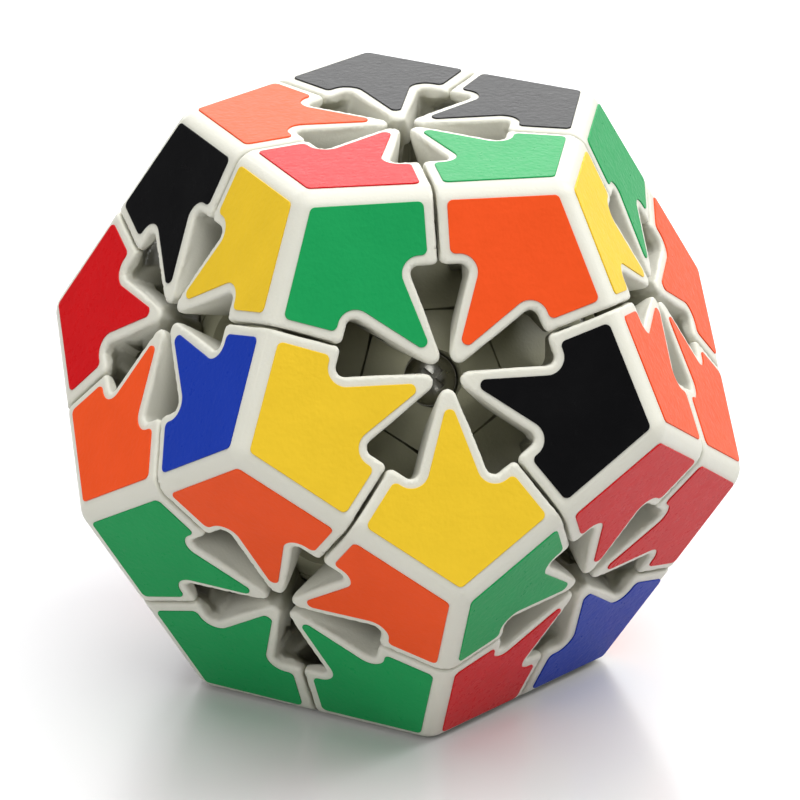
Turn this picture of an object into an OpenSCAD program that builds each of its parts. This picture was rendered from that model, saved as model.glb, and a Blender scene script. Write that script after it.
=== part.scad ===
// Face-turning dodecahedron puzzle of the corner-only kind.
// Twenty corners, thirty hidden edges and twelve hidden centres turn on a twelve-armed core.
// +Z is up, the front is towards -Y, and the origin is the middle of the face it rests on.

/* [Body] */
// Distance between two opposite faces
face_to_face = 70; // [40:1:120]

/* [Cuts] */
// Gap left beside every turning surface
clearance = 0.1; // [0.05:0.01:0.25]
// Height of a face layer's underside above the puzzle's centre
layer_floor = 16.05; // [15.7:0.05:17]
// Radius of the barrel that clears the tips of a turning layer
tip_clear_r = 31; // [30.8:0.1:31.6]

/* [Star openings] */
// Distance from a face's middle to the shoulders of a petal
petal_end = 12.75; // [11:0.05:14]
// Half of the angle between the two flanks of a petal
petal_angle = 18; // [15:0.5:18]
// How far each flank lies inside the line through the face's middle
flank_inset = 0.3; // [0:0.05:0.6]
// Rounding of the petal's outer corners
petal_round = 1.05; // [0.4:0.05:1.5]
// Rounding of the plastic where a petal meets the seam
seam_round = 0.8; // [0.3:0.05:1.2]
// Distance from a face's middle to the ends of the corner tips
tip_reach = 1.7; // [1.2:0.05:2.5]
// Depth of the straight wall round a petal
wall_depth = 4.7; // [2:0.1:8]
// How far the wall is undercut below that depth
undercut = 1.6; // [0:0.1:2.5]
// Distance from a face's middle where the undercut begins
undercut_from = 4.2; // [4:0.1:6]
// Distance from a face's middle where the undercut is full
undercut_full = 8; // [6:0.1:10]
// Distance from a face's middle where the undercut narrows again
undercut_to = 12.2; // [11:0.1:12.5]
// Distance from a face's middle where the undercut ends
undercut_end = 12.9; // [12.8:0.05:13.2]
// Depth of the star opening in a corner piece
star_depth = 13.5; // [10:0.1:14]

/* [Mechanism] */
// Outer radius of the hidden edges and centres
ball_r = 25.9; // [24:0.1:26]
// Radius where the stalks widen into feet
foot_r = 18.5; // [16:0.1:21]
// Inner radius of the feet
hollow_r = 13; // [11:0.1:15]
// Half angle of the cut round a face axis, at the stalks
stalk_angle = 45.1; // [43:0.1:46]
// How far the tops of the feet slope down towards their rims
foot_drop = 0.8; // [0.4:0.1:1.5]
// Half angle of the cut round a face axis, at the inner end of the feet
foot_angle = 48.5; // [47:0.1:52]
// Half angle of a corner's round stalk
stalk_half = 6.4; // [5:0.1:6.5]
// Half angle of a corner's round foot
foot_half = 11.2; // [9:0.1:11.4]
// Height of a corner's foot above the puzzle's centre, along the corner's axis
foot_top = 17.1; // [15:0.1:17.2]
// Half angle between the flats of a centre's cap
cap_half = 18.2; // [16:0.1:18.4]
// Half angle between the flats of a centre under its cap
cap_foot_half = 14; // [12:0.1:14.1]
// Height of the step under a centre's cap
cap_step = 18; // [17.8:0.1:19]
// Radius of the screw well in a centre
well_r = 3.5; // [3.2:0.1:4]
// Height of the well's floor above the puzzle's centre
well_floor = 17.8; // [16:0.1:19]
// Radius of the running bore under the well
bore_r = 1.7; // [1.5:0.05:2]

/* [Core, screws and springs] */
// Radius of the core's ball
core_r = 8.5; // [7:0.1:10]
// Radius of the core's arms
arm_r = 3.3; // [2.5:0.1:3.4]
// Distance of the arms' inner ends from the puzzle's centre
arm_start = 6.6; // [6.4:0.1:7.5]
// Distance of the arms' outer ends from the puzzle's centre
arm_end = 12.3; // [11:0.1:12.4]
// Distance of the pilot holes' inner ends from the puzzle's centre
pilot_start = 6.8; // [6.6:0.1:8]
// Depth of the pilot holes
pilot_depth = 8; // [6:0.1:9]
// Radius of the screw shanks
shank_r = 1.45; // [1.2:0.05:1.6]
// Radius of the domed screw heads
head_r = 3.1; // [2.6:0.05:3.3]
// Top of the domed heads above the puzzle's centre
head_top = 25.4; // [24:0.1:25.8]
// Height of the dome
dome_h = 2; // [1:0.1:2.4]
// Thickness of the flange under the dome
flange_h = 0.5; // [0.3:0.05:0.8]
// How far the flange stands out past the dome
flange_lip = 0.1; // [0.05:0.05:0.3]
// Length of the cross recess in a head
recess_l = 3.2; // [2:0.1:4]
// Width of the cross recess
recess_w = 0.7; // [0.4:0.05:1]
// Depth of the cross recess
recess_depth = 1.2; // [0.8:0.1:1.6]
// Mean radius of the springs
spring_r = 2.45; // [2.2:0.05:2.8]
// Radius of the spring wire
wire_r = 0.33; // [0.2:0.01:0.4]
// Turns of each spring
spring_turns = 4; // [3:0.5:6]

/* [Hidden] */
$fn = 64;
// every length above is for a 70 mm puzzle, and follows the puzzle's size
k = face_to_face / 70;
r_in = face_to_face / 2;
gap = clearance * k;
// angle between two neighbouring faces' axes, and between a vertex's axis and its faces' axes
face_tilt = 63.4349488;
vertex_tilt = 37.3773681;
// distance from a face's middle to the middle of its sides
apothem = r_in * tan(face_tilt / 2);
far = 1.45 * r_in;
white = [0.87, 0.86, 0.81];
pale = [0.72, 0.71, 0.66];
steel = [0.62, 0.62, 0.64];

// faces as [polar angle, azimuth]: top, upper ring, lower ring, bottom
T = [0, 0];
U0 = [face_tilt, -90];
U1 = [face_tilt, -18];
U2 = [face_tilt, 54];
U3 = [face_tilt, 126];
U4 = [face_tilt, 198];
L0 = [180 - face_tilt, -54];
L1 = [180 - face_tilt, 18];
L2 = [180 - face_tilt, 90];
L3 = [180 - face_tilt, 162];
L4 = [180 - face_tilt, 234];
B = [180, 0];
FACES = [T, U0, U1, U2, U3, U4, L0, L1, L2, L3, L4, B];

// ---- helpers ----
function dir(f) = [sin(f[0]) * cos(f[1]), sin(f[0]) * sin(f[1]), cos(f[0])];
function unit(v) = v / norm(v);

// puts the local frame, +Z along face f and +X towards face g, into the puzzle
module place(f, g) {
    z = dir(f);
    x = unit(dir(g) - (dir(g) * z) * z);
    y = cross(z, x);
    translate([0, 0, r_in])
        multmatrix([
            [x[0], y[0], z[0], 0],
            [x[1], y[1], z[1], 0],
            [x[2], y[2], z[2], 0],
            [0, 0, 0, 1]
        ])
            children();
}

// turns something drawn for the local +Z face onto the neighbour at azimuth a
module onto(a) rotate([0, 0, a]) rotate([0, face_tilt, 0]) children();

// turns something about the vertex between the faces at +Z, azimuth 0 and azimuth 72
module about_vertex(a) {
    rotate([0, 0, 36]) rotate([0, vertex_tilt, 0])
        rotate([0, 0, a])
            rotate([0, -vertex_tilt, 0]) rotate([0, 0, -36]) children();
}

// ---- the cut that frees one face layer ----
// a point of the seam at distance r from the face's middle, as [radius, height] about the neighbour
function seam_z(r) = r_in * cos(face_tilt) + r * sin(face_tilt) * cos(72);
function seam_point(r) = [sqrt(r_in * r_in + r * r - seam_z(r) * seam_z(r)), seam_z(r)];
function polar_point(r, a) = [r * sin(a), r * cos(a)];

// the seam is straight through two points at these parts of the face's apothem, and goes on past the puzzle
seam_outer = 0.82;
seam_inner = 0.68;
seam_reach = 9;
// the cut between the corners, from outside the puzzle inwards
outer_path = [
    seam_point(apothem) + seam_reach * (seam_point(apothem) - seam_point(seam_outer * apothem)),
    seam_point(seam_outer * apothem),
    seam_point(seam_inner * apothem),
    seam_point(petal_end * k + 0.15),
    [tip_clear_r * k, seam_z(petal_end * k) - flank_inset * k],
    [tip_clear_r * k, layer_floor * k],
    [0, layer_floor * k]
];
// the cut through the hidden ball runs between these radii, and its half angle changes by a small draft
cut_far_r = 38;
cut_near_r = 9;
stalk_draft = 0.8;
foot_draft = 0.6;
// the cut through the hidden ball, past the stalks and the feet
inner_path = [
    polar_point(cut_far_r * k, stalk_angle),
    polar_point(foot_r * k, stalk_angle - stalk_draft),
    polar_point((foot_r - foot_drop) * k, foot_angle + foot_draft),
    polar_point(cut_near_r * k, foot_angle),
    [0, cut_near_r * k * cos(foot_angle)]
];

// the same path moved outwards by d, with mitred corners
function normal_at(p, i) = let (e = unit(p[i + 1] - p[i])) [-e[1], e[0]];
function mitre(p, i, d) = let (
        a = normal_at(p, i - 1),
        b = normal_at(p, i),
        m = (a + b) / (1 + a * b)
    ) p[i] - m * d;
function moved(p, d) = [
    for (i = [0:len(p) - 1])
        i == 0 ? p[0] - normal_at(p, 0) * d :
        i == len(p) - 1 ? p[i] - normal_at(p, i - 1) * d :
        mitre(p, i, d)
];

// the space that turns with the +Z face, outside and inside the ball
module outer_layer(d) {
    path = moved(outer_path, -d);
    top = d > 0 ? far : r_in;
    rotate([0, 0, 180]) rotate_extrude()
        polygon(concat([[0, top], [path[0][0], top]], path));
}
module inner_layer(d) {
    rotate([0, 0, 180]) rotate_extrude()
        polygon(concat([[0, inner_path[0][1]]], moved(inner_path, -d)));
}

// ---- star openings ----
function arc(c, r, a0, a1, n) = [
    for (i = [0:n]) c + r * [cos(a0 + (a1 - a0) * i / n), sin(a0 + (a1 - a0) * i / n)]
];
function turned(p, a) = [p[0] * cos(a) - p[1] * sin(a), p[0] * sin(a) + p[1] * cos(a)];
// in a frame whose x axis is the petal's axis: half width of the petal at distance r
function flank(r) = r * tan(petal_angle) - flank_inset * k / cos(petal_angle);
// middle of the round at the petal's outer corner
corner_x = (petal_end - petal_round) * k;
corner_y = flank(corner_x) - petal_round * k / cos(petal_angle);
// distance of the tip round's middle from the face's middle
tip_c = (tip_reach + flank_inset) / (1 - sin(36 - petal_angle)) * k;
tip_r = flank_inset * k + tip_c * sin(36 - petal_angle);

// the outline runs this far past the petal's axis, into the next corner's half
past_axis = 0.6 * k;
// half of a petal, from the seam round the shoulder and in along the flank
half_petal = concat(
    [[(petal_end + seam_round) * k, -past_axis]],
    arc([(petal_end + seam_round) * k, (seam_round + clearance) * k], seam_round * k, 270, 180, 4),
    arc([corner_x, corner_y], petal_round * k, 0, 90 + petal_angle, 5)
);
// the tip's round, seen from the petal's axis at azimuth 0, as far as the tip's own axis
half_tip = arc(tip_c * [cos(36), sin(36)], tip_r, -90 + petal_angle, -144, 4);

// the opening beside one corner: half a petal, the tip, and half the next petal
function mirror36(p) = turned([turned(p, -36)[0], -turned(p, -36)[1]], 36);
function flip(list) = [for (i = [len(list) - 1:-1:0]) list[i]];
side = concat([[-2 * past_axis, -past_axis]], half_petal, half_tip);
opening = concat(side, [for (p = flip(side)) mirror36(p)]);

// half of a petal's undercut, from just past the petal's axis
function beside(r, part) = [r * k, flank(r * k) + part * undercut * k];
undercut_outline = [
    [undercut_from * k, -flank_inset * k],
    beside(undercut_from, 0.2),
    beside(undercut_full, 1),
    beside(undercut_to, 0.7),
    [undercut_end * k, flank((undercut_to - 1) * k)],
    [undercut_end * k, -flank_inset * k]
];

module star_cut() {
    translate([0, 0, r_in - star_depth * k])
        linear_extrude((star_depth + 1) * k) polygon(opening);
    low = star_depth + 0.2;
    for (m = [0, 1])
        rotate([0, 0, 72 * m]) mirror([0, m, 0])
            translate([0, 0, r_in - low * k])
                linear_extrude((low - wall_depth) * k) polygon(undercut_outline);
}

// ---- turning pieces ----
// the corner's outer block, then the same after n of its cuts
module corner_block() {
    intersection() {
        outer_layer(0);
        onto(0) rotate([0, 0, 180]) outer_layer(0);
        onto(72) rotate([0, 0, 180]) outer_layer(0);
    }
}
module corner_cut(n) {
    if (n == 0)
        corner_block();
    else
        difference() {
            corner_cut(n - 1);
            about_vertex(120 * n) onto(-72) rotate([0, 0, 180]) outer_layer(gap);
        }
}
module corner_open(n) {
    if (n == 0)
        corner_cut(3);
    else
        difference() {
            corner_open(n - 1);
            about_vertex(120 * n) star_cut();
        }
}
module cone_between(z0, z1, half_angle)
    translate([0, 0, z0 * k])
        cylinder(h = (z1 - z0) * k, r1 = z0 * k * tan(half_angle), r2 = z1 * k * tan(half_angle));

// how far the stalk runs up into the corner's outer block
stalk_in_block = 1.5;
// a round stalk on the corner's axis, which ends in a foot under the edges
module corner_stalk() {
    rotate([0, 0, 36]) rotate([0, vertex_tilt, 0])
        difference() {
            union() {
                cone_between(hollow_r - 1, ball_r + stalk_in_block, stalk_half);
                cone_between(hollow_r - 1, foot_top, foot_half);
            }
            sphere(hollow_r * k);
        }
}
module corner_piece(f, g) {
    place(f, g) {
        difference() {
            corner_open(3);
            sphere(ball_r * k + 2 * gap);
        }
        corner_stalk();
    }
}

// what is left of a ball beside the layers of the neighbours at these azimuths
module without(azimuths, n) {
    if (n == 0)
        children();
    else
        difference() {
            without(azimuths, n - 1) children();
            onto(azimuths[n - 1]) inner_layer(gap);
        }
}

module edge_piece(f, g) {
    place(f, g)
        difference() {
            without([72, -72], 2)
                intersection() {
                    sphere(ball_r * k);
                    inner_layer(0);
                    onto(0) rotate([0, 0, 180]) inner_layer(0);
                }
            sphere(hollow_r * k);
        }
}

// a five-sided taper towards the puzzle's centre, between two heights
module five_sided(z0, z1, half_angle) {
    function ring(z) = [
        for (i = [0:4])
            [
                z * k * tan(half_angle) / cos(36) * cos(36 + 72 * i),
                z * k * tan(half_angle) / cos(36) * sin(36 + 72 * i),
                z * k
            ]
    ];
    sides = [for (i = [0:4]) [i, i + 5, (i + 1) % 5 + 5, (i + 1) % 5]];
    polyhedron(points = concat(ring(z0), ring(z1)),
        faces = concat([[0, 1, 2, 3, 4]], [[9, 8, 7, 6, 5]], sides));
}

module centre_piece(f, g) {
    place(f, g)
        difference() {
            intersection() {
                sphere(ball_r * k);
                union() {
                    five_sided(cap_step, ball_r + 1, cap_half);
                    five_sided(hollow_r - 2, cap_step, cap_foot_half);
                }
            }
            sphere(hollow_r * k);
            cylinder(r = bore_r * k, h = r_in);
            translate([0, 0, well_floor * k]) cylinder(r = well_r * k, h = r_in);
        }
}
// a centre of the lower ring, with the hidden edge between it and the bottom face
module centre_with_edge(f) {
    centre_piece(f, B);
    edge_piece(f, B);
}

// ---- core, screws and springs ----
module on_every_face() for (f = FACES) place(f, f == T || f == B ? U0 : T) children();

module core() color(white)
    difference() {
        union() {
            translate([0, 0, r_in]) sphere(core_r * k);
            on_every_face()
                translate([0, 0, arm_start * k]) cylinder(r = arm_r * k, h = (arm_end - arm_start) * k);
        }
        on_every_face() translate([0, 0, pilot_start * k]) cylinder(r = shank_r * k, h = pilot_depth * k);
    }

module screw() {
    dome_r = (head_r * head_r + dome_h * dome_h) / (2 * dome_h) * k;
    dome_foot = head_top - dome_h;
    difference() {
        union() {
            intersection() {
                translate([0, 0, head_top * k - dome_r]) sphere(dome_r);
                translate([0, 0, dome_foot * k]) cylinder(r = (head_r + 0.9) * k, h = (dome_h + 1) * k);
            }
            translate([0, 0, (dome_foot - flange_h) * k])
                cylinder(r = (head_r + flange_lip) * k, h = flange_h * k);
            translate([0, 0, pilot_start * k])
                cylinder(r = shank_r * k, h = (dome_foot - pilot_start - 0.2) * k);
        }
        for (a = [45, 135])
            rotate([0, 0, a])
                translate([-recess_l / 2 * k, -recess_w / 2 * k, (head_top - recess_depth) * k])
                    cube([recess_l, recess_w, 2] * k);
    }
}

module screws() color(steel) on_every_face() screw();

// a round wire wound between the well's floor and the screw head
module spring() {
    n = 8; // points in a turn
    m = 4; // sides of the wire
    low = (well_floor + wire_r + clearance) * k;
    high = (head_top - dome_h - flange_h - wire_r) * k;
    steps = n * spring_turns;
    pts = [
        for (i = [0:steps]) for (j = [0:m - 1])
            let (
                a = 360 * i / n,
                b = 360 * j / m,
                r = (spring_r + wire_r * cos(b)) * k
            )
            [r * cos(a), r * sin(a), low + (high - low) * i / steps + wire_r * k * sin(b)]
    ];
    sides = [
        for (i = [0:steps - 1]) for (j = [0:m - 1])
            let (p = i * m + j, q = i * m + (j + 1) % m)
            [p, p + m, q + m, q]
    ];
    polyhedron(pts, concat(sides, [[0, 1, 2, 3], [for (j = [m - 1:-1:0]) steps * m + j]]), convexity = 8);
}

module springs() color(steel) on_every_face() spring();

// ---- one module for every node ----
module centre_B() color(pale) centre_piece(B, L0);
module centre_T() color(pale) centre_piece(T, U0);
module centre_U0() color(pale) centre_piece(U0, T);
module centre_U1() color(pale) centre_piece(U1, T);
module centre_U2() color(pale) centre_piece(U2, T);
module centre_U3() color(pale) centre_piece(U3, T);
module centre_U4() color(pale) centre_piece(U4, T);
module centre_L0() color(pale) centre_with_edge(L0);
module centre_L1() color(pale) centre_with_edge(L1);
module centre_L2() color(pale) centre_with_edge(L2);
module centre_L3() color(pale) centre_with_edge(L3);
module centre_L4() color(pale) centre_with_edge(L4);
module edge_T_U0() color(pale) edge_piece(T, U0);
module edge_T_U1() color(pale) edge_piece(T, U1);
module edge_T_U2() color(pale) edge_piece(T, U2);
module edge_T_U3() color(pale) edge_piece(T, U3);
module edge_T_U4() color(pale) edge_piece(T, U4);
module edge_U0_U1() color(pale) edge_piece(U0, U1);
module edge_U0_U4() color(pale) edge_piece(U0, U4);
module edge_U0_L0() color(pale) edge_piece(U0, L0);
module edge_U0_L4() color(pale) edge_piece(U0, L4);
module edge_U1_U2() color(pale) edge_piece(U1, U2);
module edge_U1_L0() color(pale) edge_piece(U1, L0);
module edge_U1_L1() color(pale) edge_piece(U1, L1);
module edge_U2_U3() color(pale) edge_piece(U2, U3);
module edge_U2_L1() color(pale) edge_piece(U2, L1);
module edge_U2_L2() color(pale) edge_piece(U2, L2);
module edge_U3_U4() color(pale) edge_piece(U3, U4);
module edge_U3_L2() color(pale) edge_piece(U3, L2);
module edge_U3_L3() color(pale) edge_piece(U3, L3);
module edge_U4_L3() color(pale) edge_piece(U4, L3);
module edge_U4_L4() color(pale) edge_piece(U4, L4);
module edge_L0_L1() color(pale) edge_piece(L0, L1);
module edge_L0_L4() color(pale) edge_piece(L0, L4);
module edge_L1_L2() color(pale) edge_piece(L1, L2);
module edge_L2_L3() color(pale) edge_piece(L2, L3);
module edge_L3_L4() color(pale) edge_piece(L3, L4);
module corner_T_U0_U1() color(white) corner_piece(T, U0);
module corner_T_U4_U0() color(white) corner_piece(T, U4);
module corner_T_U1_U2() color(white) corner_piece(T, U1);
module corner_T_U2_U3() color(white) corner_piece(T, U2);
module corner_T_U3_U4() color(white) corner_piece(T, U3);
module corner_U0_L0_U1() color(white) corner_piece(U0, L0);
module corner_U0_U4_L4() color(white) corner_piece(U0, U4);
module corner_U0_L4_L0() color(white) corner_piece(U0, L4);
module corner_U1_L1_U2() color(white) corner_piece(U1, L1);
module corner_U1_L0_L1() color(white) corner_piece(U1, L0);
module corner_U2_L2_U3() color(white) corner_piece(U2, L2);
module corner_U2_L1_L2() color(white) corner_piece(U2, L1);
module corner_U3_L3_U4() color(white) corner_piece(U3, L3);
module corner_U3_L2_L3() color(white) corner_piece(U3, L2);
module corner_U4_L3_L4() color(white) corner_piece(U4, L3);
module corner_L0_B_L1() color(white) corner_piece(L0, B);
module corner_L0_L4_B() color(white) corner_piece(L0, L4);
module corner_L1_B_L2() color(white) corner_piece(L1, B);
module corner_L2_B_L3() color(white) corner_piece(L2, B);
module corner_L3_B_L4() color(white) corner_piece(L3, B);

core();
screws();
springs();
centre_B();
centre_T();
centre_U0();
centre_U1();
centre_U2();
centre_U3();
centre_U4();
centre_L0();
centre_L1();
centre_L2();
centre_L3();
centre_L4();
edge_T_U0();
edge_T_U1();
edge_T_U2();
edge_T_U3();
edge_T_U4();
edge_U0_U1();
edge_U0_U4();
edge_U0_L0();
edge_U0_L4();
edge_U1_U2();
edge_U1_L0();
edge_U1_L1();
edge_U2_U3();
edge_U2_L1();
edge_U2_L2();
edge_U3_U4();
edge_U3_L2();
edge_U3_L3();
edge_U4_L3();
edge_U4_L4();
edge_L0_L1();
edge_L0_L4();
edge_L1_L2();
edge_L2_L3();
edge_L3_L4();
corner_T_U0_U1();
corner_T_U4_U0();
corner_T_U1_U2();
corner_T_U2_U3();
corner_T_U3_U4();
corner_U0_L0_U1();
corner_U0_U4_L4();
corner_U0_L4_L0();
corner_U1_L1_U2();
corner_U1_L0_L1();
corner_U2_L2_U3();
corner_U2_L1_L2();
corner_U3_L3_U4();
corner_U3_L2_L3();
corner_U4_L3_L4();
corner_L0_B_L1();
corner_L0_L4_B();
corner_L1_B_L2();
corner_L2_B_L3();
corner_L3_B_L4();
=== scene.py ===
import math
import random

import bmesh
import bpy
import numpy as np
from mathutils import Matrix, Vector


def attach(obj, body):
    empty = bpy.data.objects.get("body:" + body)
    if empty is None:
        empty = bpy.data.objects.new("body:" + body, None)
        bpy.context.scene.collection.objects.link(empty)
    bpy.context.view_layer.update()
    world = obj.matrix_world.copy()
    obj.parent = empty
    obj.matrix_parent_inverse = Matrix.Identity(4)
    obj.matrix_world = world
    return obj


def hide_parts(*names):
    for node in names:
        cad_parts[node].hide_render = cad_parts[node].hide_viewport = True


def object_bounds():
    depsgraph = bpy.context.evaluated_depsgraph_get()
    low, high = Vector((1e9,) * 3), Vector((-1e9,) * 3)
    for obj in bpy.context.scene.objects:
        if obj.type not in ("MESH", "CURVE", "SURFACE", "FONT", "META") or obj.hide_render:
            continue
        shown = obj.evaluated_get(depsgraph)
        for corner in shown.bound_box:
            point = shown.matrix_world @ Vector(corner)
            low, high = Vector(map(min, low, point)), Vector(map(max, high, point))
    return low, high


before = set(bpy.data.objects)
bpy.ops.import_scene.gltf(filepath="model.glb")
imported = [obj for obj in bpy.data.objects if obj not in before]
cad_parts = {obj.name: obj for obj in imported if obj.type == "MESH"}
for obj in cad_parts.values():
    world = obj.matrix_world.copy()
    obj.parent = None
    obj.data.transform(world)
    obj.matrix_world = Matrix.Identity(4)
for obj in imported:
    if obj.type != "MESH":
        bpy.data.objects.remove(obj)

# A face-turning dodecahedron puzzle with stickers, after one photograph.
# Lengths are worked out in millimetres of the CAD and put into Blender in metres.

MM = 0.001
cad_low, cad_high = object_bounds()
CENTRE = Vector((0, 0, (cad_low.z + cad_high.z) / 2))
R_IN = (cad_high.z - cad_low.z) / 2 / MM     # from the puzzle's centre to a face
K = R_IN / 35                                # every other size follows the faces

# ---- sizes of the plastic, as in the CAD (angles in degrees) ----
FACE_TILT = math.degrees(math.acos(1 / math.sqrt(5)))
VERTEX_TILT = math.degrees(math.acos(math.sqrt((5 + 2 * math.sqrt(5)) / 15)))
HALF_TILT = 31.7174744
APOTHEM = R_IN * math.tan(math.radians(HALF_TILT))
GAP = 0.1                  # between two corners
LAYER_FLOOR = 16.05 * K
TIP_CLEAR = 31 * K
PETAL_END = 12.75 * K
PETAL_ANGLE = 18
FLANK_INSET = 0.3 * K
PETAL_ROUND = 1.05 * K
TIP_REACH = 1.7 * K
WALL_DEPTH = 4.7 * K
UNDERCUT = 1.6 * K
UNDERCUT_FROM = 4.2 * K
UNDERCUT_AT = [4.2 * K, 8 * K, 12.2 * K]   # distances along a petal
UNDERCUT_SHARE = [0.2, 1, 0.7]             # and how much of the undercut there is at each
SEAM_INNER = 0.68          # where a seam's straight line is taken from, as a share of the apothem
SEAM_REACH = 2             # how far it goes on outwards, as a share of the line's length
SEAM_IN = 0.15             # where it ends, beside a petal's end
BARREL_DROP = 0.3 * K      # from there down to the barrel that clears the tips
BALL_R = 25.9 * K
HOLLOW_R = 13 * K
STALK_HALF, FOOT_HALF, FOOT_TOP = 6.4, 11.2, 17.1 * K
STALK_IN_BLOCK = 1.5 * K   # how far a stalk reaches into its block

# ---- finish sizes, from the photograph ----
OUTER_ROUND = 1.5 * K      # on the edges of the dodecahedron
RIM_ROUND = 0.42 * K       # along the seams and round the openings
MOUTH_ROUND = 0.8 * K      # where a seam runs into an opening
END_WALL = 1.3 * K         # depth of the wall at a petal's outer end
END_BACK = 1.1 * K         # and how far the plastic steps back under it
STICKER_EDGE_MARGIN = 1.5 * K
STICKER_SEAM_MARGIN = 1.4 * K
STICKER_PETAL_MARGIN = 1.1 * K
STICKER_ROUND = 0.7 * K
STICKER_TIP = 4.1 * K
STICKER_THICK = 0.16
STICKER_RINGS = (          # inset and height of the rings of points from its foot to its top
    (0.0, -0.03), (0.0, STICKER_THICK - 0.06), (0.02, STICKER_THICK - 0.02), (0.07, STICKER_THICK))
STICKER_MIDDLE = (0.8, 0.55)   # the point a sticker twists about, in apothems
STICKER_SLIP = 0.1         # stuck on by hand, this far out of place at the most
STICKER_TWIST = 0.5        # and this many degrees
PAINTED_SHADE_DEPTHS = (1.8, 6.5)   # under the face: painted shade darkens the walls from the first depth to the second

# ---- how finely the corner piece is meshed ----
NET_STEP = 0.42 * K        # size of the quads
NET_LOW = np.array([0.2, -1.4, 6.5]) * K     # the box round one corner piece
NET_HIGH = np.array([33.2, 32.5, 35.8]) * K
NET_PULLS = 3              # times that each point is pulled onto the surface
PINCH_VALUE = -1e-4        # distance given to a grid point that changes side
FLAT_ANGLE = 0.4           # neighbouring quads closer than this to one plane are joined
SLOPE_STEP = 0.02          # over which the slope of a distance is taken
NORMAL_STEP = 0.05         # and over which the shading normals are
LEAST_SLOPE = 0.25         # least square of a slope to divide by, where two surfaces meet


def unit(v):
    v = np.asarray(v, float)
    return v / np.linalg.norm(v)


def direction(tilt, azimuth):
    """Unit vector at this angle from +Z and this azimuth, both in degrees."""
    t, a = math.radians(tilt), math.radians(azimuth)
    return np.array([math.sin(t) * math.cos(a), math.sin(t) * math.sin(a), math.cos(t)])


FACES = {"T": direction(0, 0), "B": direction(180, 0)}
for i in range(5):
    FACES[f"U{i}"] = direction(FACE_TILT, -90 + 72 * i)
    FACES[f"L{i}"] = direction(180 - FACE_TILT, -54 + 72 * i)


# ---- distance functions, in a frame with +Z along one face and +X towards the next ----
def round_max(parts, r):
    """Intersection of solids, with the edges between them rounded."""
    parts = np.stack(parts)
    return np.minimum(-r, parts.max(0)) + np.sqrt((np.maximum(parts + r, 0) ** 2).sum(0))


def polygon_distance(x, y, points):
    """Signed distance to a closed outline, negative inside."""
    best = np.full(x.shape, 1e9)
    inside = np.zeros(x.shape, bool)
    for (ax, ay), (bx, by) in zip(points, points[1:] + points[:1]):
        ex, ey = bx - ax, by - ay
        wx, wy = x - ax, y - ay
        t = np.clip((wx * ex + wy * ey) / (ex * ex + ey * ey), 0, 1)
        best = np.minimum(best, (wx - ex * t) ** 2 + (wy - ey * t) ** 2)
        crosses = (ay > y) != (by > y)
        with np.errstate(divide="ignore", invalid="ignore"):
            inside ^= crosses & (x < ax + (y - ay) * ex / (ey if ey else 1e-12))
    return np.where(inside, -1, 1) * np.sqrt(best)


def seam_z(r):
    """Height along the neighbour's axis of the seam's point at r from a face's middle."""
    tilt = math.radians(FACE_TILT)
    return R_IN * math.cos(tilt) + r * math.sin(tilt) * math.cos(math.radians(72))


def seam_point(r):
    """That point of the seam as distance from the neighbour's axis and height along it."""
    return np.array([math.sqrt(R_IN ** 2 + r ** 2 - seam_z(r) ** 2), seam_z(r)])


outer, inner = seam_point(APOTHEM), seam_point(SEAM_INNER * APOTHEM)
far = outer + SEAM_REACH * (outer - inner)
# outline of a face's layer, as distance from the face's axis and height along it
LAYER = [
    (0, 2 * R_IN), (far[0], 2 * R_IN), tuple(far), tuple(inner),
    tuple(seam_point(PETAL_END + SEAM_IN)), (TIP_CLEAR, seam_z(PETAL_END) - BARREL_DROP),
    (TIP_CLEAR, LAYER_FLOOR), (0, LAYER_FLOOR),
]


def layer_distance(p, axis):
    """The space that turns with the face on this axis."""
    z = p @ axis
    rho = np.sqrt(np.maximum((p ** 2).sum(1) - z ** 2, 0))
    return polygon_distance(rho, z, LAYER)


SIN_P, COS_P = math.sin(math.radians(PETAL_ANGLE)), math.cos(math.radians(PETAL_ANGLE))


def flank_y(x):
    """Half the width of a petal at x along it."""
    return x * SIN_P / COS_P - FLANK_INSET / COS_P


PETAL_X = PETAL_END - PETAL_ROUND
PETAL_Y = flank_y(PETAL_X) - PETAL_ROUND / COS_P
TIP_C = (TIP_REACH + FLANK_INSET) / (1 - SIN_P)
TIP_R = FLANK_INSET + TIP_C * SIN_P


def folded(x, y):
    """The same point in the half petal between its axis and the next tip."""
    a = np.radians(np.abs((np.degrees(np.arctan2(y, x)) + 36) % 72 - 36))
    r = np.hypot(x, y)
    return r * np.cos(a), r * np.sin(a)


def flank_distance(x, y):
    return y * COS_P - x * SIN_P + FLANK_INSET


def petal_distance(x, y):
    """Half of a petal: its straight flank, its end, and the rounded corner between them."""
    cx, cy = x - PETAL_X, y - PETAL_Y
    angle = np.degrees(np.arctan2(cy, cx))
    straight = np.maximum(flank_distance(x, y), x - PETAL_END)
    at_corner = (angle > 0) & (angle < 90 + PETAL_ANGLE)
    return np.where(at_corner, np.hypot(cx, cy) - PETAL_ROUND, straight)


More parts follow.
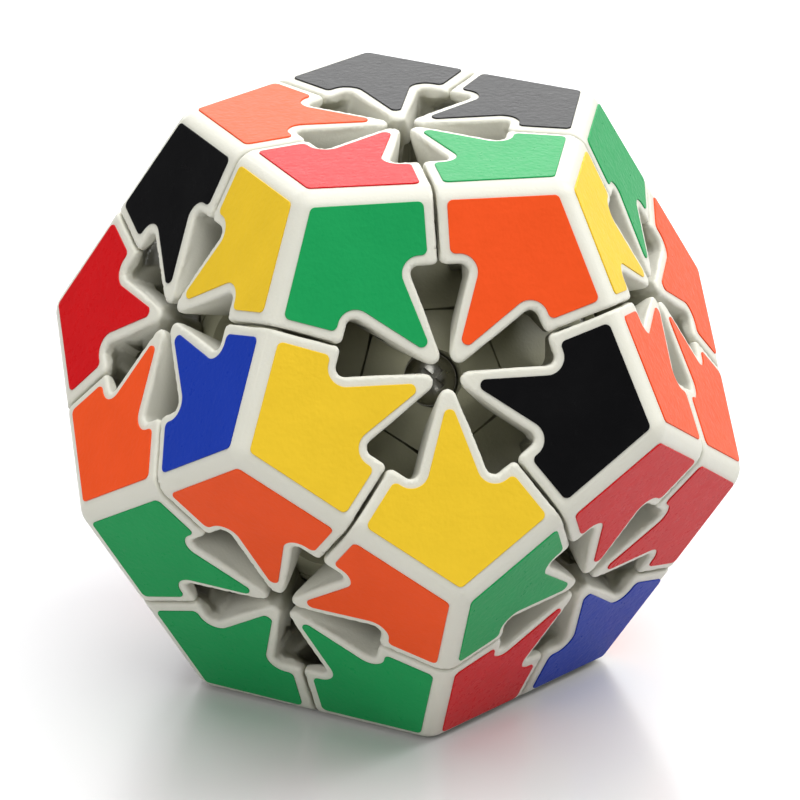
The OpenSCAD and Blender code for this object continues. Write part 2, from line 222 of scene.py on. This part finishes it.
def opening_distance(x, y, depth):
    """The star opening of a face, negative inside it."""
    x, y = folded(x, y)
    # at a petal's end the plastic steps back just under the rim
    under = np.interp(depth, [END_WALL, 2 * END_WALL], [0, END_BACK])
    d = np.minimum(petal_distance(x, y), petal_distance(x - under, y))
    tx, ty = x - TIP_C * math.cos(math.radians(36)), y - TIP_C * math.sin(math.radians(36))
    d = np.where(tx * COS_P + ty * SIN_P < 0, TIP_R - np.hypot(tx, ty), d)
    # and under the straight wall of the flank
    back = np.interp(x, UNDERCUT_AT, UNDERCUT_SHARE) * UNDERCUT
    low = np.maximum(flank_distance(x, y) - back, x - PETAL_END)
    return np.where((depth > WALL_DEPTH) & (x > UNDERCUT_FROM), np.minimum(d, low), d)


VERTEX = direction(VERTEX_TILT, 36)


def about_vertex(turns):
    return np.array(Matrix.Rotation(math.radians(120 * turns), 3, Vector(VERTEX)))


# the three faces of the corner piece, and the three beside it whose layers it stays out of
OWN = [about_vertex(i) @ np.array([0, 0, 1.0]) for i in range(3)]
NEXT = [about_vertex(i) @ direction(FACE_TILT, -72) for i in range(3)]
ALONG = np.array([1.0, 0, 0])


def cone_distance(off, h, half_angle):
    """A cone round the vertex's axis with its point at the puzzle's centre."""
    a = math.radians(half_angle)
    return (off - h * math.tan(a)) * math.cos(a)


def corner_distance(p):
    """One corner piece of the puzzle, at the faces +Z, azimuth 0 and azimuth 72."""
    planes = round_max([p @ n - R_IN for n in OWN], OUTER_ROUND)
    inside_own = [layer_distance(p, n) for n in OWN]
    outside_next = [GAP - layer_distance(p, n) for n in NEXT]
    seams = np.max(inside_own + outside_next, axis=0)
    openings = []
    for i, n in enumerate(OWN):
        along = about_vertex(i) @ ALONG
        x, y, z = p @ along, p @ np.cross(n, along), p @ n
        openings.append(-opening_distance(x, y, R_IN - z))
    walls = round_max([seams, np.max(openings, axis=0)], MOUTH_ROUND)
    shell = round_max([planes, walls], RIM_ROUND)
    r = np.linalg.norm(p, axis=1)
    shell = np.maximum(shell, BALL_R + 2 * GAP - r)
    h = p @ VERTEX
    off = np.sqrt(np.maximum(r ** 2 - h ** 2, 0))
    stalk = np.maximum(cone_distance(off, h, STALK_HALF), h - BALL_R - STALK_IN_BLOCK)
    foot = np.maximum(cone_distance(off, h, FOOT_HALF), h - FOOT_TOP)
    stem = np.maximum(np.minimum(stalk, foot), HOLLOW_R - r)
    return np.minimum(shell, stem)


def gradient(f, p, h=SLOPE_STEP):
    g = np.stack([f(p + h * e) - f(p - h * e) for e in np.eye(3)], 1)
    return g / (2 * h)


def unpinched(value):
    """Grid values in which no square has only one diagonal inside, where a mesh would pinch."""
    found = True
    while found:
        found = False
        for u, v in ((0, 1), (0, 2), (1, 2)):
            shift_u, shift_v = np.eye(3, dtype=int)[u], np.eye(3, dtype=int)[v]
            shifts = [0 * shift_u, shift_u, shift_u + shift_v, shift_v]
            size = np.array(value.shape) - shift_u - shift_v
            parts = [tuple(slice(a, a + n) for a, n in zip(shift, size)) for shift in shifts]
            first, second, third, fourth = (value[part] < 0 for part in parts)
            pinched = (first == third) & (second == fourth) & (first != second)
            for cell in np.argwhere(pinched):
                ring = [tuple(cell + shift) for shift in shifts]
                outside = [point for point in ring if value[point] >= 0]
                if len(outside) == 2:
                    value[min(outside, key=lambda point: value[point])] = PINCH_VALUE
                    found = True
    return value


def surface_net(f, low, high, step):
    """A closed quad mesh of the surface f = 0, with one point in each cell that it crosses."""
    axes = [np.arange(a, b + step, step) for a, b in zip(low, high)]
    grid = np.stack(np.meshgrid(*axes, indexing="ij"), -1)
    shape = grid.shape[:3]
    value = unpinched(f(grid.reshape(-1, 3)).reshape(shape))
    inside = value < 0
    cells = tuple(n - 1 for n in shape)

    def at(a, dx, dy, dz):
        return a[dx:dx + cells[0], dy:dy + cells[1], dz:dz + cells[2]]

    corners = [(i, j, k) for i in (0, 1) for j in (0, 1) for k in (0, 1)]
    count = sum(at(inside, *c).astype(int) for c in corners)
    mixed = (count > 0) & (count < 8)
    index = np.full(cells, -1)
    index[mixed] = np.arange(mixed.sum())
    total, weight = np.zeros((mixed.sum(), 3)), np.zeros(mixed.sum())
    for a in corners:
        for axis in range(3):
            if a[axis]:
                continue
            b = tuple(1 if i == axis else a[i] for i in range(3))
            va, vb = at(value, *a)[mixed], at(value, *b)[mixed]
            cut = (va < 0) != (vb < 0)
            t = np.where(cut, va / np.where(cut, va - vb, 1), 0)[:, None]
            pa, pb = at(grid, *a)[mixed], at(grid, *b)[mixed]
            total += np.where(cut[:, None], pa + t * (pb - pa), 0)
            weight += cut
    points = total / weight[:, None]
    for _ in range(NET_PULLS):
        g = gradient(f, points)
        size = np.maximum((g ** 2).sum(1), LEAST_SLOPE)
        points = points - np.clip(g * (f(points) / size)[:, None], -step / 2, step / 2)
    quads = []
    for axis in range(3):
        u, v = (axis + 1) % 3, (axis + 2) % 3
        here = [slice(None)] * 3
        there = [slice(None)] * 3
        here[axis], there[axis] = slice(None, -1), slice(1, None)
        cross = inside[tuple(here)] != inside[tuple(there)]
        where = np.argwhere(cross)
        wu, wv = where[:, u], where[:, v]
        where = where[(wu > 0) & (wv > 0) & (wu < cells[u]) & (wv < cells[v])]
        eu, ev = np.eye(3, dtype=int)[u], np.eye(3, dtype=int)[v]
        ring = [where - eu - ev, where - ev, where, where - eu]
        q = np.stack([index[tuple(r.T)] for r in ring], 1)
        flip = ~inside[tuple(here)][tuple(where.T)]
        q[flip] = q[flip][:, ::-1]
        quads.append(q)
    return points, np.concatenate(quads)


def corner_mesh():
    """The corner piece in metres, with the depth of each point under the faces in millimetres."""
    points, quads = surface_net(corner_distance, NET_LOW, NET_HIGH, NET_STEP)
    mesh = bpy.data.meshes.new("corner_piece")
    mesh.from_pydata(points.tolist(), [], quads.tolist())
    bm = bmesh.new()
    bm.from_mesh(mesh)
    flat = math.radians(FLAT_ANGLE)
    bmesh.ops.dissolve_limit(bm, angle_limit=flat, verts=bm.verts, edges=bm.edges)
    bm.to_mesh(mesh)
    bm.free()
    co = np.array([v.co for v in mesh.vertices])
    depth = mesh.attributes.new("depth", "FLOAT", "POINT")
    depth.data.foreach_set("value", R_IN - np.max([co @ n for n in OWN], axis=0))
    normals = gradient(corner_distance, co, NORMAL_STEP)
    normals /= np.linalg.norm(normals, axis=1)[:, None]
    mesh.transform(Matrix.Scale(MM, 4))
    mesh.polygons.foreach_set("use_smooth", [True] * len(mesh.polygons))
    mesh.normals_split_custom_set_from_vertices(normals.tolist())
    return mesh


# ---- stickers ----
def arc_points(cx, cy, r, start, end, n=6):
    angles = [math.radians(start + (end - start) * i / n) for i in range(n + 1)]
    return [(cx + r * math.cos(a), cy + r * math.sin(a)) for a in angles]


def mirrored(points):
    """The same points on the other side of the line at 36 degrees, in reverse."""
    c, s = math.cos(math.radians(72)), math.sin(math.radians(72))
    return [(x * c + y * s, x * s - y * c) for x, y in reversed(points)]


def sticker_outline(inset=0.0):
    """Half of a kite with a bay cut out of it for the petal, then the other half."""
    r = STICKER_ROUND - inset
    edge = APOTHEM - STICKER_EDGE_MARGIN - inset
    seam = STICKER_SEAM_MARGIN + inset
    bay = STICKER_PETAL_MARGIN + inset
    a36 = math.radians(36)
    # the tip, on the 36 degree line
    tip_c = STICKER_TIP + STICKER_ROUND
    half = arc_points(tip_c * math.cos(a36), tip_c * math.sin(a36), r, 216, 288)
    # the petal's corner, then its end, then the seam
    half += arc_points(PETAL_X, PETAL_Y, PETAL_ROUND + bay, 90 + PETAL_ANGLE, 0, 14)
    half += arc_points(PETAL_END + bay + r, seam + r, r, 180, 270)
    half += arc_points(edge - r, seam + r, r, -90, 0)
    corner = (edge - r) / math.cos(a36)
    half += arc_points(corner * math.cos(a36), corner * math.sin(a36), r, 0, 36)
    return half + mirrored(half)[1:-1]


def sticker_mesh(name):
    bm = bmesh.new()
    loops = []
    for inset, z in STICKER_RINGS:
        outline = sticker_outline(inset)
        loops.append([bm.verts.new((x * MM, y * MM, (R_IN + z) * MM)) for x, y in outline])
    for a, b in zip(loops, loops[1:]):
        for i in range(len(a)):
            j = (i + 1) % len(a)
            bm.faces.new((a[i], a[j], b[j], b[i]))
    bm.faces.new(loops[-1])
    bm.faces.new(loops[0][::-1])
    bmesh.ops.recalc_face_normals(bm, faces=bm.faces)
    mesh = bpy.data.meshes.new(name)
    bm.to_mesh(mesh)
    bm.free()
    mesh.polygons.foreach_set("use_smooth", [len(p.vertices) == 4 for p in mesh.polygons])
    return mesh


# ---- materials ----
def new_material(name):
    mat = bpy.data.materials.new(name)
    mat.use_nodes = True
    nodes, links = mat.node_tree.nodes, mat.node_tree.links
    shader = nodes["Principled BSDF"]
    coords = nodes.new("ShaderNodeTexCoord")
    return mat, nodes, links, shader, coords.outputs["Object"]


def noise(nodes, links, vector, scale, detail=3.0, roughness=0.55):
    """Noise with this many swells to the metre."""
    n = nodes.new("ShaderNodeTexNoise")
    n.inputs["Scale"].default_value = scale
    n.inputs["Detail"].default_value = detail
    n.inputs["Roughness"].default_value = roughness
    links.new(vector, n.inputs["Vector"])
    return n.outputs["Fac"]


def spread(nodes, links, value, low, high, start=0.3, end=0.7):
    """Takes start to end onto low to high, and holds it there outside."""
    m = nodes.new("ShaderNodeMapRange")
    m.inputs["From Min"].default_value = start
    m.inputs["From Max"].default_value = end
    m.inputs["To Min"].default_value = low
    m.inputs["To Max"].default_value = high
    links.new(value, m.inputs["Value"])
    return m.outputs["Result"]


def mixed_colour(nodes, links, fac, a, b):
    m = nodes.new("ShaderNodeMix")
    m.data_type = "RGBA"
    m.inputs["A"].default_value = (*a, 1)
    m.inputs["B"].default_value = (*b, 1)
    links.new(fac, m.inputs["Factor"])
    return m.outputs["Result"]


def bump(nodes, links, shader, height, distance, strength=1.0, before=None):
    b = nodes.new("ShaderNodeBump")
    b.inputs["Distance"].default_value = distance
    b.inputs["Strength"].default_value = strength
    links.new(height, b.inputs["Height"])
    if before is not None:
        links.new(before, b.inputs["Normal"])
    links.new(b.outputs["Normal"], shader.inputs["Normal"])
    return b.outputs["Normal"]


def plastic(name, colour, shade, rough, grain=0.00003, painted_shade_colour=None):
    """Moulded plastic: faint clouds, a fine grain, and scuffs that change only the gloss.
    A painted shade colour darkens the walls with depth below the face, standing in for the shade
    down the openings, on a mesh with a depth attribute."""
    mat, nodes, links, shader, at = new_material(name)
    clouds = noise(nodes, links, at, scale=90)
    surface_colour = mixed_colour(nodes, links, clouds, colour, shade)
    # painted shade: the colour goes darker down the walls with depth below the face, for the shade
    # inside the openings
    if painted_shade_colour:
        depth = nodes.new("ShaderNodeAttribute")
        depth.attribute_name = "depth"
        painted_shade_mix = nodes.new("ShaderNodeMix")
        painted_shade_mix.data_type = "RGBA"
        share = spread(nodes, links, depth.outputs["Fac"], 0, 1, *PAINTED_SHADE_DEPTHS)
        links.new(share, painted_shade_mix.inputs["Factor"])
        links.new(surface_colour, painted_shade_mix.inputs["A"])
        painted_shade_mix.inputs["B"].default_value = (*painted_shade_colour, 1)
        surface_colour = painted_shade_mix.outputs["Result"]
    links.new(surface_colour, shader.inputs["Base Color"])
    scuffs = noise(nodes, links, at, scale=700, detail=6, roughness=0.7)
    links.new(spread(nodes, links, scuffs, rough - 0.07, rough + 0.1), shader.inputs["Roughness"])
    fine = bump(nodes, links, shader, noise(nodes, links, at, scale=2600, detail=2), grain)
    swells = noise(nodes, links, at, scale=260, detail=2)
    bump(nodes, links, shader, swells, distance=0.00006, strength=0.6, before=fine)
    shader.inputs["IOR"].default_value = 1.42
    shader.inputs["Subsurface Weight"].default_value = 0.12
    shader.inputs["Subsurface Radius"].default_value = (1.0, 0.9, 0.7)
    shader.inputs["Subsurface Scale"].default_value = 0.0012
    return mat


def vinyl(name, colour, rough=0.3, peel=0.00005):
    """Sticker film: even colour, orange-peel surface, a clear gloss and a little dirt."""
    mat, nodes, links, shader, at = new_material(name)
    deeper = tuple(c * 0.9 for c in colour)
    lighter = tuple(min(1, c * 1.05 + 0.004) for c in colour)
    clouds = noise(nodes, links, at, scale=160, detail=5, roughness=0.6)
    links.new(mixed_colour(nodes, links, clouds, deeper, lighter), shader.inputs["Base Color"])
    worn = noise(nodes, links, at, scale=900, detail=6, roughness=0.7)
    links.new(spread(nodes, links, worn, rough - 0.05, rough + 0.09), shader.inputs["Roughness"])
    fine = bump(nodes, links, shader, noise(nodes, links, at, scale=1500, detail=1.5), peel)
    swells = noise(nodes, links, at, scale=330, detail=2)
    bump(nodes, links, shader, swells, distance=peel * 1.2, strength=0.7, before=fine)
    shader.inputs["IOR"].default_value = 1.15
    shader.inputs["Coat Weight"].default_value = 0.04
    shader.inputs["Coat Roughness"].default_value = 0.12
    return mat


def metal(name, colour, rough):
    """Bare steel with a fine grain in its colour, gloss and surface."""
    mat, nodes, links, shader, at = new_material(name)
    grain = noise(nodes, links, at, scale=1200, detail=5, roughness=0.7)
    darker = tuple(c * 0.75 for c in colour)
    links.new(mixed_colour(nodes, links, grain, darker, colour), shader.inputs["Base Color"])
    links.new(spread(nodes, links, grain, rough - 0.08, rough + 0.12), shader.inputs["Roughness"])
    bump(nodes, links, shader, noise(nodes, links, at, scale=3000, detail=2), distance=0.00002)
    shader.inputs["Metallic"].default_value = 1
    return mat


# the darker olive colour given last is painted shade down the walls of the openings
WHITE = plastic("white_abs", (0.74, 0.73, 0.64), (0.69, 0.68, 0.585), 0.36,
                painted_shade_colour=(0.24, 0.235, 0.175))
# the inner parts get a darker, olive copy of the white plastic: painted shade for the parts that
# sit deep inside the puzzle
INNER_PAINTED_SHADE = plastic("inner_abs_painted_shade", (0.58, 0.57, 0.40), (0.50, 0.49, 0.345), 0.42)
CORE = plastic("core_abs", (0.60, 0.59, 0.53), (0.52, 0.51, 0.46), 0.42)
STEEL = metal("screw_steel", (0.55, 0.54, 0.49), 0.32)
SPRING = metal("spring_steel", (0.55, 0.55, 0.56), 0.3)
VINYL = {
    "green": vinyl("vinyl_green", (0.012, 0.33, 0.092), 0.3),
    "orange": vinyl("vinyl_orange", (0.88, 0.09, 0.016), 0.32),
    "yellow": vinyl("vinyl_yellow", (0.83, 0.55, 0.028), 0.34),
    "blue": vinyl("vinyl_blue", (0.010, 0.042, 0.39), 0.3),
    "red": vinyl("vinyl_red", (0.63, 0.006, 0.009), 0.28),
    "black": vinyl("vinyl_black", (0.0035, 0.0035, 0.004), 0.2, 0.00003),
}

# ---- corner pieces and their stickers: the colours follow the faces in the corner's name ----
COLOURS = {
    "T_U0_U1": "green orange yellow", "T_U4_U0": "red yellow green",
    "T_U1_U2": "black green blue", "T_U2_U3": "black yellow blue",
    "T_U3_U4": "orange green black", "U0_L0_U1": "black red orange",
    "U0_U4_L4": "yellow blue orange", "U0_L4_L0": "yellow orange green",
    "U1_L1_U2": "orange blue red", "U1_L0_L1": "orange red black",
    "U2_L2_U3": "black blue yellow", "U2_L1_L2": "green blue red",
    "U3_L3_U4": "yellow black red", "U3_L2_L3": "green red blue",
    "U4_L3_L4": "orange black green", "L0_B_L1": "blue yellow orange",
    "L0_L4_B": "red green yellow", "L1_B_L2": "orange red blue",
    "L2_B_L3": "black yellow red", "L3_B_L4": "black blue green",
}

stuck = random.Random(7)
piece_mesh = corner_mesh()
piece_mesh.materials.append(WHITE)
sticker_meshes = {c: sticker_mesh(f"sticker_{c}") for c in VINYL}
for c, m in sticker_meshes.items():
    m.materials.append(VINYL[c])


def link(obj):
    """Puts the object into the scene."""
    bpy.context.scene.collection.objects.link(obj)
    return obj


def in_puzzle(f, g):
    """Puts the local frame, +Z along face f and +X towards face g, into the puzzle."""
    z = unit(FACES[f])
    x = unit(FACES[g] - (FACES[g] @ z) * z)
    return Matrix.Translation(CENTRE) @ Matrix(np.array([x, np.cross(z, x), z]).T.tolist()).to_4x4()


for name, colours in COLOURS.items():
    f, g, h = name.split("_")
    place = in_puzzle(f, g)
    piece = link(bpy.data.objects.new(f"corner_piece_{name}", piece_mesh.copy()))
    piece.data.transform(place)
    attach(piece, f"piece_{name}")
    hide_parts(f"corner_{name}")
    for i, (face, colour) in enumerate(zip((f, g, h), colours.split())):
        mesh = sticker_meshes[colour].copy()
        sticker = link(bpy.data.objects.new(f"sticker_{face}_on_{name}", mesh))
        turn = Matrix([list(row) for row in about_vertex(i)]).to_4x4()
        middle = Vector((*STICKER_MIDDLE, 0)) * APOTHEM * MM
        out = Vector((stuck.uniform(-1, 1), stuck.uniform(-1, 1), 0))
        slip = Matrix.Translation(out * STICKER_SLIP * MM)
        twist = Matrix.Rotation(math.radians(stuck.uniform(-1, 1) * STICKER_TWIST), 4, "Z")
        hand = slip @ Matrix.Translation(middle) @ twist @ Matrix.Translation(-middle)
        sticker.data.transform(place @ turn @ hand)
        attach(sticker, f"piece_{name}")

# ---- the mechanism keeps its CAD shapes and gets finished materials ----
for name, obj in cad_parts.items():
    if name.startswith("corner_"):
        continue
    kind = name.split("_")[0]
    # parts other than the core, screws and springs take the inner plastic, whose darker colour is
    # painted shade
    mat = {"core": CORE, "screws": STEEL, "springs": SPRING}.get(kind, INNER_PAINTED_SHADE)
    if not obj.material_slots:
        obj.data.materials.append(mat)
    for s in obj.material_slots:
        s.material = mat


# ---- floor, light and camera ----
def area_light(name, where, size, watts):
    """A soft rectangle of light turned towards the puzzle's centre."""
    data = bpy.data.lights.new(name, "AREA")
    data.shape = "RECTANGLE"
    data.size, data.size_y = size
    data.energy = watts
    obj = link(bpy.data.objects.new(name, data))
    obj.location = where
    obj.rotation_euler = (CENTRE - Vector(where)).to_track_quat("-Z", "Y").to_euler()
    return obj


FLOOR_HALF = 1.5
bm = bmesh.new()
bmesh.ops.create_grid(bm, x_segments=1, y_segments=1, size=FLOOR_HALF)
floor_mesh = bpy.data.meshes.new("floor")
bm.to_mesh(floor_mesh)
bm.free()
floor = link(bpy.data.objects.new("floor", floor_mesh))
floor_mat, nodes, links, shader, at = new_material("floor_paint")
shader.inputs["Base Color"].default_value = (0.68, 0.68, 0.685, 1)
shader.inputs["Roughness"].default_value = 0.22
floor_mesh.materials.append(floor_mat)

world = bpy.data.worlds.new("studio")
world.use_nodes = True
world.node_tree.nodes["Background"].inputs["Color"].default_value = (1, 1, 1, 1)
world.node_tree.nodes["Background"].inputs["Strength"].default_value = 0.15
bpy.context.scene.world = world

area_light("top_softbox", where=(0.05, -0.05, 0.80), size=(1.0, 1.0), watts=8.2)
area_light("backdrop", where=(0.05, 0.75, 0.36), size=(1.0, 0.5), watts=5.3)
area_light("right_softbox", where=(0.72, 0.12, 0.50), size=(0.5, 0.5), watts=4.4)
fill = area_light("front_fill", where=(-0.60, -0.60, 0.45), size=(0.5, 0.5), watts=2.4)
fill.visible_glossy = False
bpy.context.scene.view_settings.view_transform = "Standard"

# the camera, fitted to the photograph: its direction, its distance, its lens and how far it is
# moved sideways and up
AZIMUTH, ELEVATION, ROLL = (math.radians(a) for a in (-10.576, 23.883, 0.997))
DISTANCE, LENS, SENSOR = 0.587612, 214.918, 36
SIDEWAYS, UPWARDS = 0.000348, -0.001288
level = Vector((math.sin(AZIMUTH), -math.cos(AZIMUTH), 0))
back = level * math.cos(ELEVATION) + Vector((0, 0, math.sin(ELEVATION)))
right = Vector((0, 0, 1)).cross(back).normalized()
up = back.cross(right)
cam_x = math.cos(ROLL) * right + math.sin(ROLL) * up
cam_y = -math.sin(ROLL) * right + math.cos(ROLL) * up
cam = bpy.data.cameras.new("camera")
cam.lens = LENS
cam.sensor_width = SENSOR
cam_obj = link(bpy.data.objects.new("camera", cam))
spot = CENTRE + DISTANCE * back + SIDEWAYS * cam_x + UPWARDS * cam_y
cam_obj.matrix_world = Matrix.Translation(spot) @ Matrix((cam_x, cam_y, back)).transposed().to_4x4()
bpy.context.scene.camera = cam_obj
